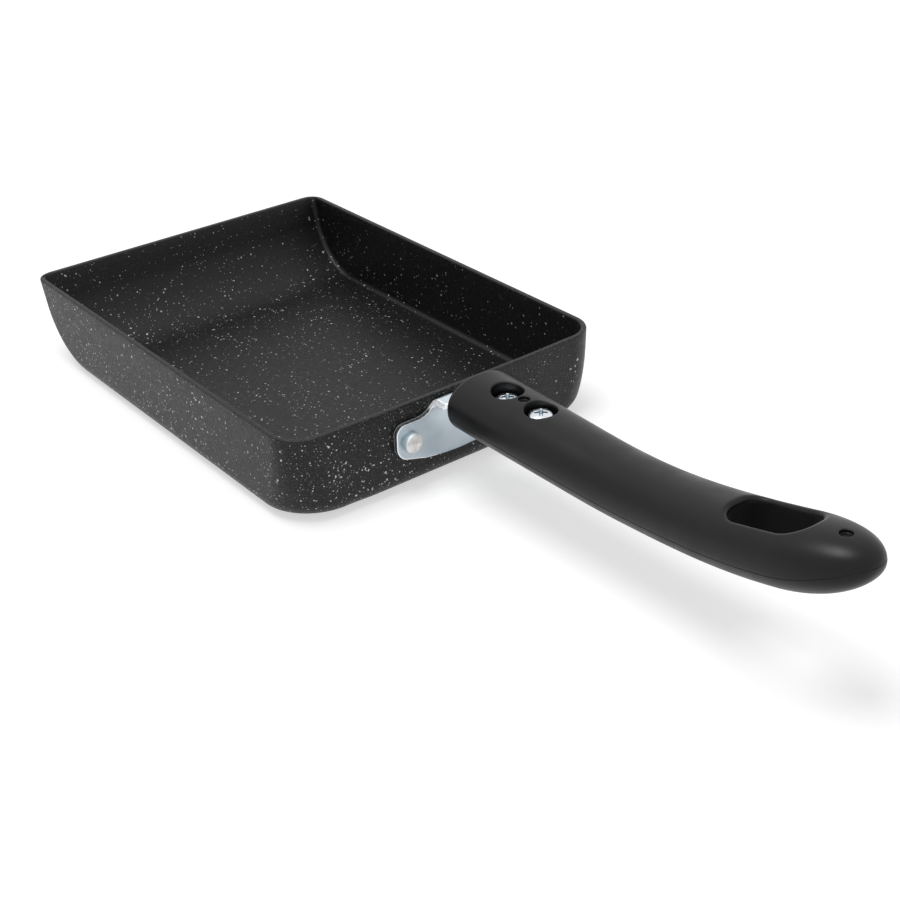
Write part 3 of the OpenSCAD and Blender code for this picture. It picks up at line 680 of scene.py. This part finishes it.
def zinc_plate():
    """Plated sheet: smooth faces, a painted highlight along the rounded edges and at the fold, painted
    light on the face near the fold, and rougher sheared sides painted dark as shade with a painted
    highlight along their back edge.
    """
    s = Shade("zinc_plate", (0.40, 0.46, 0.51), 0.38, 1.0)
    x, y, z = s.split(s.mm)
    nx, ny, _ = s.split(s.normal)
    on_wing = s.math("GREATER_THAN", s.math("ABSOLUTE", y), TANG_HALF + 0.7)
    level = s.math("SQRT", s.math("SUBTRACT", 1, s.math("MULTIPLY", ny, ny), clamp=True))
    edge = s.math("SUBTRACT", 1, s.mix(on_wing, level, s.math("ABSOLUTE", nx)))
    below_fold = s.ramp(z, PAN_H - 4.6, PAN_H - 3.6, 1, 0)
    # Sheared sides below the fold: rougher, and painted dark as shade.
    sheared = s.math("MULTIPLY", s.ramp(edge, 0.3, 0.6), below_fold)
    off_wall = s.math("SUBTRACT", x, s.math("MULTIPLY", s.math("SUBTRACT", z, PAN_H), math.tan(DRAFT)))
    back = s.ramp(off_wall, END_X + 0.25, END_X + 0.8, 1, 0)
    cloud = s.ramp(s.noise(0.07, 2), 0.35, 0.65, 0, 1)
    face = s.mix(cloud, (0.38, 0.44, 0.49), (0.49, 0.55, 0.60))
    # Painted light: the face is lighter between the wings near the fold.
    between_wings = s.ramp(s.math("ABSOLUTE", y), 7, 16, 1, 0)
    painted_light_near_fold = s.math("MULTIPLY", s.ramp(z, PAN_H - 17, PAN_H - 5), between_wings)
    face = s.mix(painted_light_near_fold, face, (0.64, 0.72, 0.78))
    # Painted highlight: a light line along the rounded edges of the faces.
    face = s.mix(s.ramp(edge, 0.006, 0.04), face, (0.87, 0.9, 0.92))
    ripple = s.ramp(s.noise(1.6, 2), 0.4, 0.6)
    # Painted highlight: the sides at the fold are light, streaked by the ripple.
    face = s.mix(s.ramp(edge, 0.3, 0.6), face, s.mix(ripple, (0.66, 0.7, 0.72), (0.9, 0.92, 0.94)))
    # Painted shade on the sheared sides, streaked by the ripple, with a painted highlight along the strip
    # at the back edge.
    side_shade_and_back_highlight = s.mix(back, s.mix(ripple, (0.05, 0.055, 0.06), (0.2, 0.21, 0.22)), (0.5, 0.52, 0.54))
    s.set(s.bsdf, "Base Color", s.mix(sheared, face, side_shade_and_back_highlight))
    gloss = s.ramp(s.noise(1.1, 4), 0.3, 0.7, 0.33, 0.42)
    fold_side = s.ramp(edge, 0.3, 0.6, 0, 0.65)
    rough = s.math("MAXIMUM", fold_side, s.ramp(sheared, 0, 1, 0, s.ramp(back, 0, 1, 0.6, 0.9)))
    s.set(s.bsdf, "Roughness", s.math("MAXIMUM", gloss, rough))
    s.set(s.bsdf, "Normal", s.bump(s.noise(2.2, 3), 0.1, 0.02))
    return s.material


def rivet_metal():
    """Formed aluminium, with a painted reflection of the plate down its sides: bluish and darker."""
    s = Shade("formed_aluminium", (0.8, 0.78, 0.75), 0.5, 0.6)
    face = s.mix(s.ramp(s.noise(0.45, 3), 0.35, 0.65), (0.7, 0.69, 0.68), (1, 0.99, 0.98))
    end_on = s.ramp(s.math("ABSOLUTE", s.split(s.normal)[0]), 0.45, 0.8)
    # Painted reflection: the sides take the plate's bluish colour.
    s.set(s.bsdf, "Base Color", s.mix(end_on, (0.56, 0.67, 0.72), face))
    s.set(s.bsdf, "Normal", s.bump(s.noise(1.1, 4), 0.6, 0.2))
    return s.material


# Stage, light and camera
def seen_directly(tree):
    """1 for camera, glossy and transmission rays, 0 for the rest."""
    path = tree.nodes.new("ShaderNodeLightPath")
    seen = path.outputs["Is Camera Ray"]
    for ray in ("Is Glossy Ray", "Is Transmission Ray"):
        most = tree.nodes.new("ShaderNodeMath")
        most.operation = "MAXIMUM"
        tree.links.new(seen, most.inputs[0])
        tree.links.new(path.outputs[ray], most.inputs[1])
        seen = most.outputs[0]
    return seen


def make_floor():
    """Pale floor that glows where it is seen, and more away from the object. Its sizes are in metres."""
    mesh = bpy.data.meshes.new("floor")
    floor_size = 12
    h = floor_size / 2
    mesh.from_pydata([(-h, -h, 0), (h, -h, 0), (h, h, 0), (-h, h, 0)], [], [(0, 1, 2, 3)])
    floor = bpy.data.objects.new("floor", mesh)
    bpy.context.scene.collection.objects.link(floor)
    material = bpy.data.materials.new("floor")
    material.use_nodes = True
    tree = material.node_tree
    bsdf = tree.nodes["Principled BSDF"]
    bsdf.inputs["Base Color"].default_value = (0.6, 0.6, 0.6, 1)
    bsdf.inputs["Roughness"].default_value = 1
    bsdf.inputs["Specular IOR Level"].default_value = 0
    coord = tree.nodes.new("ShaderNodeTexCoord")
    distance = tree.nodes.new("ShaderNodeVectorMath")
    distance.operation = "LENGTH"
    tree.links.new(coord.outputs["Object"], distance.inputs[0])
    level = tree.nodes.new("ShaderNodeMapRange")
    tree.links.new(distance.outputs["Value"], level.inputs[0])
    for socket, value in ((1, 0.4), (2, 1.6), (3, 0.55), (4, 0.72)):
        level.inputs[socket].default_value = value
    glow = tree.nodes.new("ShaderNodeMath")
    glow.operation = "MULTIPLY"
    tree.links.new(seen_directly(tree), glow.inputs[0])
    tree.links.new(level.outputs[0], glow.inputs[1])
    bsdf.inputs["Emission Color"].default_value = (1, 1, 1, 1)
    tree.links.new(glow.outputs[0], bsdf.inputs["Emission Strength"])
    mesh.materials.append(material)


def make_world():
    """White where it is seen, and half as strong as a light."""
    world = bpy.data.worlds.new("studio")
    bpy.context.scene.world = world
    world.use_nodes = True
    tree = world.node_tree
    back = tree.nodes["Background"]
    seen = seen_directly(tree)
    level = tree.nodes.new("ShaderNodeMapRange")
    tree.links.new(seen, level.inputs[0])
    level.inputs[3].default_value = 0.5
    level.inputs[4].default_value = 1.0
    tree.links.new(level.outputs[0], back.inputs["Strength"])
    back.inputs["Color"].default_value = (1, 1, 1, 1)


def area_light(name, place, target, size, power):
    light = bpy.data.lights.new(name, "AREA")
    light.shape = "DISK"
    light.size = size
    light.energy = power
    lamp = bpy.data.objects.new(name, light)
    lamp.location = place
    aim = Vector(target) - Vector(place)
    lamp.rotation_euler = aim.to_track_quat("-Z", "Y").to_euler()
    bpy.context.scene.collection.objects.link(lamp)


def make_camera():
    """The camera that was solved from the pan's outline in the photo, which is 900 pixels wide."""
    photo_px, focal_px = 900, 1571.6359
    yaw, pitch, roll = 2.4962568, 0.5189850, -0.0386502
    place = Vector((454.9957, -277.8347, 269.3329)) * MM
    forward = Vector((math.cos(yaw) * math.cos(pitch), math.sin(yaw) * math.cos(pitch), -math.sin(pitch)))
    right = Vector((math.sin(yaw), -math.cos(yaw), 0))
    up = right.cross(forward)
    r = right * math.cos(roll) + up * math.sin(roll)
    u = up * math.cos(roll) - right * math.sin(roll)
    data = bpy.data.cameras.new("camera")
    data.sensor_width = 36
    data.lens = data.sensor_width * focal_px / photo_px
    camera = bpy.data.objects.new("camera", data)
    camera.matrix_world = Matrix.Translation(place) @ Matrix((r, u, -forward)).transposed().to_4x4()
    bpy.context.scene.collection.objects.link(camera)
    bpy.context.scene.camera = camera


make_pan(coating())
make_bracket(zinc_plate())
rivet = rivet_metal()
make_rivet("rivet_near", "rivet_left", -1, rivet, 3)
make_rivet("rivet_far", "rivet_right", 1, rivet, 8)
make_grip(phenolic())
plated = zinc_screw()
make_screw("screw_1", "screw_front", 0, plated)
make_screw("screw_2", "screw_rear", 1, plated)
make_washer("washer_1", "spring_washer_front", 0, plated)
make_washer("washer_2", "spring_washer_rear", 1, plated)

make_floor()
make_world()
area_light("softbox", (0.0, -0.22, 1.2), (0.08, 0, 0), 0.7, 8)
make_camera()
bpy.context.scene.view_settings.view_transform = "Standard"
